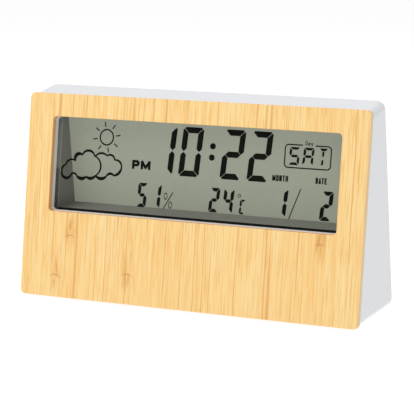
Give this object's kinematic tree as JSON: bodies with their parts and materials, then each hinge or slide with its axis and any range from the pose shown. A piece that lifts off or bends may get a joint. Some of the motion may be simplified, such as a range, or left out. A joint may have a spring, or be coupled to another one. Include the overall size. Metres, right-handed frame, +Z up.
{
  "type": "home weather station",
  "caption": "Desk weather station with a bamboo front board on a white wedge housing, a wide recessed liquid crystal display, rear keys and a hinged battery door.",
  "frame": {"origin": "on the table under the middle of the station's width and depth", "axes": "+X to the right of someone who reads the display, +Y away from them through the back, +Z up"},
  "size_m": [0.135, 0.0391, 0.0778],
  "materials": {
    "bamboo_board": "clear matt lacquer",
    "white_abs": "fine satin",
    "adhesive_tape": "matt foam",
    "black_foam": "matt foam",
    "polariser_film": "anti-glare film",
    "display_glass": "polished",
    "reflector_plastic": "satin",
    "silver_film": "brushed film",
    "zinc_screw": "zinc plated",
    "conducting_rubber": "matt",
    "circuit_board": "solder mask",
    "black_epoxy": "cured epoxy",
    "nickel_can": "nickel plated",
    "capacitor_sleeve": "shrink sleeve",
    "chip_resistor": "glazed",
    "switch_plastic": "moulded",
    "plunger_plastic": "moulded",
    "sensor_plastic": "moulded",
    "brass_disc": "rolled",
    "white_ceramic": "silvered",
    "cell_jacket": "printed jacket",
    "nickel_steel": "nickel plated",
    "red_sleeve": "extruded",
    "black_sleeve": "extruded",
    "grey_ribbon": "extruded",
    "key_plastic": "fine satin",
    "foot_rubber": "matt"
  },
  "bodies": {
    "station": {"front_panel": "bamboo_board", "panel_tape": "adhesive_tape", "front_housing": "white_abs", "rear_cover": "white_abs", "display_gasket": "black_foam", "front_polariser": "polariser_film", "lcd_front_glass": "display_glass", "lcd_rear_glass": "display_glass", "rear_polariser": "polariser_film", "reflector_box": "reflector_plastic", "reflector_sheet": "silver_film", "box_screws": "zinc_screw", "contact_strip": "conducting_rubber", "main_board": "circuit_board", "board_screws": "zinc_screw", "controller_blob": "black_epoxy", "crystal": "nickel_can", "capacitors": "capacitor_sleeve", "resistors": "chip_resistor", "key_board": "circuit_board", "key_board_screws": "zinc_screw", "switch_bodies": "switch_plastic", "humidity_sensor": "sensor_plastic", "thermistor": "black_epoxy", "sounder_disc": "brass_disc", "sounder_ceramic": "white_ceramic", "sounder_leads": "black_sleeve", "cell_upper": "cell_jacket", "cell_lower": "cell_jacket", "contact_bridge": "nickel_steel", "contact_positive": "nickel_steel", "contact_negative": "nickel_steel", "battery_lead_red": "red_sleeve", "battery_lead_black": "black_sleeve", "key_ribbon": "grey_ribbon", "cover_screws": "zinc_screw", "foot_pads": "foot_rubber"},
    "key_mode_body": {"key_mode": "key_plastic", "plunger_mode": "plunger_plastic"},
    "key_set_body": {"key_set": "key_plastic", "plunger_set": "plunger_plastic"},
    "key_up_body": {"key_up": "key_plastic", "plunger_up": "plunger_plastic"},
    "key_down_body": {"key_down": "key_plastic", "plunger_down": "plunger_plastic"},
    "key_alarm_body": {"key_alarm": "key_plastic", "plunger_alarm": "plunger_plastic"},
    "door_body": {"battery_door": "white_abs"}
  },
  "joints": [
    {"name": "press_mode", "type": "slide", "parent": "station", "child": "key_mode_body", "axis": [0, -0.9861, -0.1661], "range_m": [0, 0.0005], "stiffness_N_per_m": 400},
    {"name": "press_set", "type": "slide", "parent": "station", "child": "key_set_body", "axis": [0, -0.9861, -0.1661], "range_m": [0, 0.0005], "stiffness_N_per_m": 400},
    {"name": "press_up", "type": "slide", "parent": "station", "child": "key_up_body", "axis": [0, -0.9861, -0.1661], "range_m": [0, 0.0005], "stiffness_N_per_m": 400},
    {"name": "press_down", "type": "slide", "parent": "station", "child": "key_down_body", "axis": [0, -0.9861, -0.1661], "range_m": [0, 0.0005], "stiffness_N_per_m": 400},
    {"name": "press_alarm", "type": "slide", "parent": "station", "child": "key_alarm_body", "axis": [0, -0.9861, -0.1661], "range_m": [0, 0.0005], "stiffness_N_per_m": 400},
    {"name": "battery_door_hinge", "type": "hinge", "parent": "station", "child": "door_body", "pos_m": [0.02935, 0.0182, 0.0065], "axis": [-1, 0, 0], "range_deg": [0, 70]}
  ]
}
